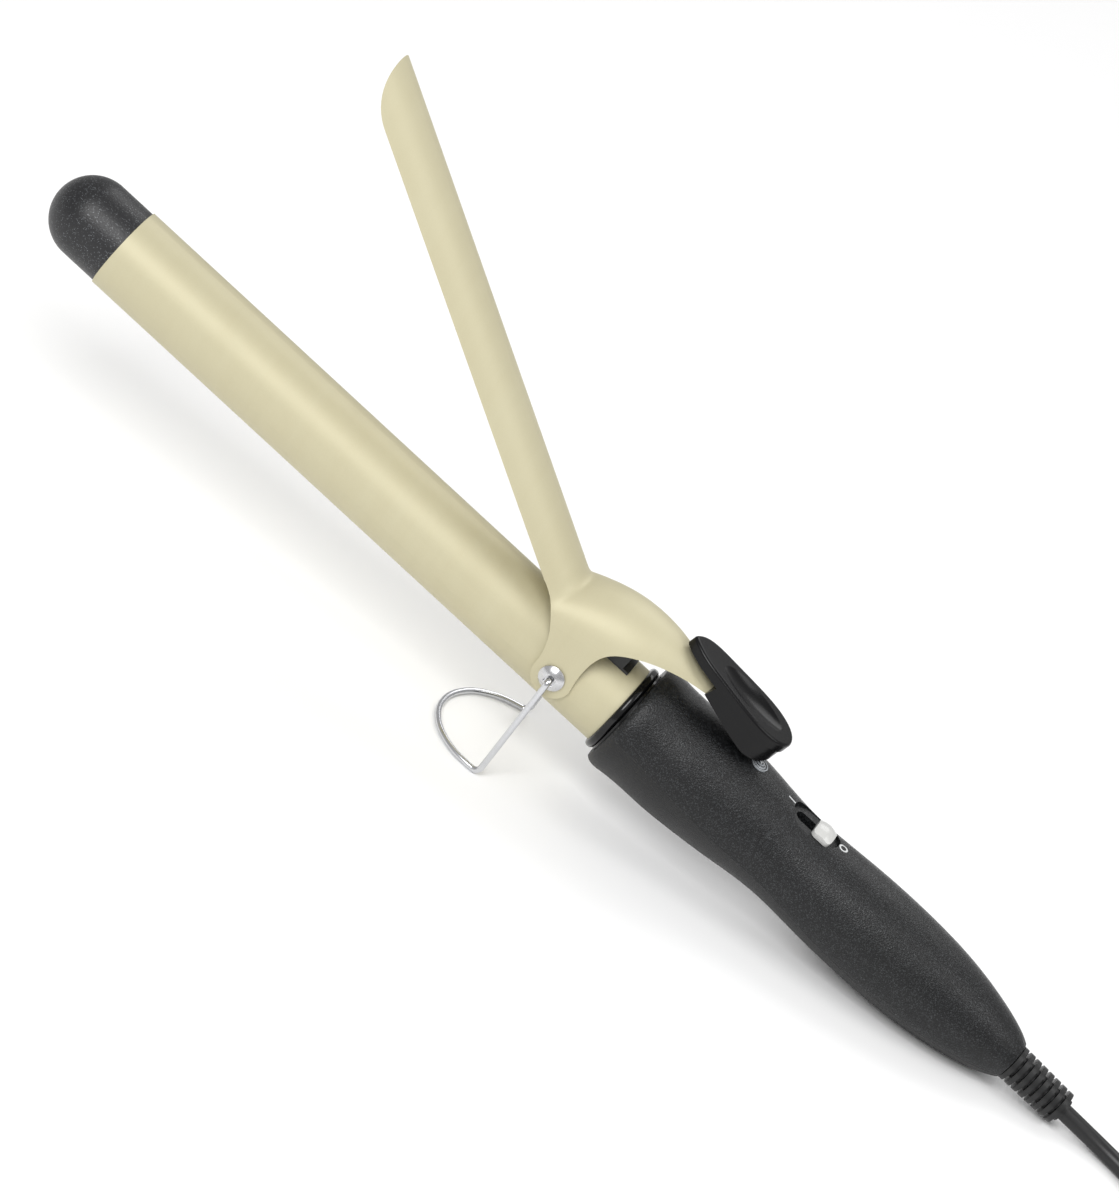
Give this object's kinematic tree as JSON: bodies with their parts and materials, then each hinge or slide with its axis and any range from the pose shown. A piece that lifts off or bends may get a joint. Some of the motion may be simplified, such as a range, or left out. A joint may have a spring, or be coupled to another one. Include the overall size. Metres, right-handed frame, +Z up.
{
  "type": "curling iron",
  "caption": "Curling iron with a round barrel, a sprung spoon clip and thumb lever, a wire rest and a black contoured handle with a cord.",
  "frame": {"origin": "on the surface that the iron stands on, below the middle of the iron without its cord", "axes": "+X from the tip to the cord end, along the iron; +Y to the side away from the viewer; +Z up, on the clip's side"},
  "size_m": [0.4961, 0.0722, 0.1563],
  "materials": {
    "champagne_barrel": "satin champagne ceramic coat on an aluminium tube",
    "champagne_clip": "satin champagne coat on spring steel sheet",
    "tip_black": "heat-resistant matte black plastic, fine texture",
    "spreader_aluminium": "cast aluminium",
    "heater_ceramic": "ceramic heater plate, matt off-white",
    "amber_film": "polyimide film",
    "glass_fibre_sleeve": "braided glass-fibre sleeve",
    "fuse_metal": "drawn metal can",
    "handle_black": "matte black moulded plastic with a fine sparkle",
    "zinc_screw": "zinc plated steel",
    "collar_black": "glossy black moulded plastic",
    "bush_resin": "brown phenolic resin",
    "slider_white": "glossy white moulded plastic",
    "switch_grey": "dark grey moulded plastic",
    "board_green": "glass-fibre board with solder mask",
    "resistor_beige": "lacquered resistor body",
    "lamp_red": "tinted resin",
    "lens_clear": "clear moulded dome",
    "lever_black": "satin black moulded plastic",
    "pivot_chrome": "bright nickel plate",
    "bracket_black": "black pressed steel",
    "spring_steel": "spring steel wire",
    "stand_chrome": "bright chrome-plated steel wire",
    "relief_rubber": "soft black moulding",
    "cord_jacket": "matte black flexible jacket",
    "clamp_grey": "dark grey moulded plastic",
    "wire_insulation": "coloured insulation",
    "tie_black": "soft black strap",
    "plug_black": "matte black moulded plastic",
    "pin_nickel": "nickel-plated brass"
  },
  "bodies": {
    "iron": {"barrel_tube": "champagne_barrel", "tip_cap": "tip_black", "upper_heat_spreader": "spreader_aluminium", "lower_heat_spreader": "spreader_aluminium", "heater_element": "heater_ceramic", "heater_film": "amber_film", "heater_leads": "glass_fibre_sleeve", "thermal_fuse": "fuse_metal", "upper_handle_shell": "handle_black", "lower_handle_shell": "handle_black", "handle_screws": "zinc_screw", "collar_ring": "collar_black", "barrel_bush": "bush_resin", "switch_body": "switch_grey", "circuit_board": "board_green", "dropper_resistors": "resistor_beige", "indicator_lamp": "lamp_red", "indicator_lens": "lens_clear", "pivot_studs": "pivot_chrome", "spring_bracket": "bracket_black", "clip_spring": "spring_steel", "strain_relief": "relief_rubber", "cord_inner_end": "cord_jacket", "cord_clamp": "clamp_grey", "clamp_screws": "zinc_screw", "supply_wires": "wire_insulation", "power_cord": "cord_jacket", "cord_coil": "cord_jacket", "cord_tie": "tie_black", "plug_body": "plug_black", "plug_pins": "pin_nickel"},
    "clip": {"clip": "champagne_clip", "thumb_lever": "lever_black", "lever_screw": "zinc_screw"},
    "stand": {"stand_wire": "stand_chrome"},
    "switch": {"switch_slider": "slider_white"}
  },
  "joints": [
    {"name": "clip_hinge", "type": "hinge", "parent": "iron", "child": "clip", "pos_m": [0.00176, 0, 0.03455], "axis": [0, 1, 0], "range_deg": [-31.1, 0], "stiffness_Nm_per_rad": 0.25, "springref_deg": -48.7, "deforming": ["clip_spring"]},
    {"name": "stand_hinge", "type": "hinge", "parent": "iron", "child": "stand", "pos_m": [0.00176, 0, 0.03455], "axis": [0, 1, 0], "range_deg": [-84, 0]},
    {"name": "switch_slide", "type": "slide", "parent": "iron", "child": "switch", "axis": [0.9864, 0, -0.1644], "range_m": [-0.006, 0]}
  ]
}
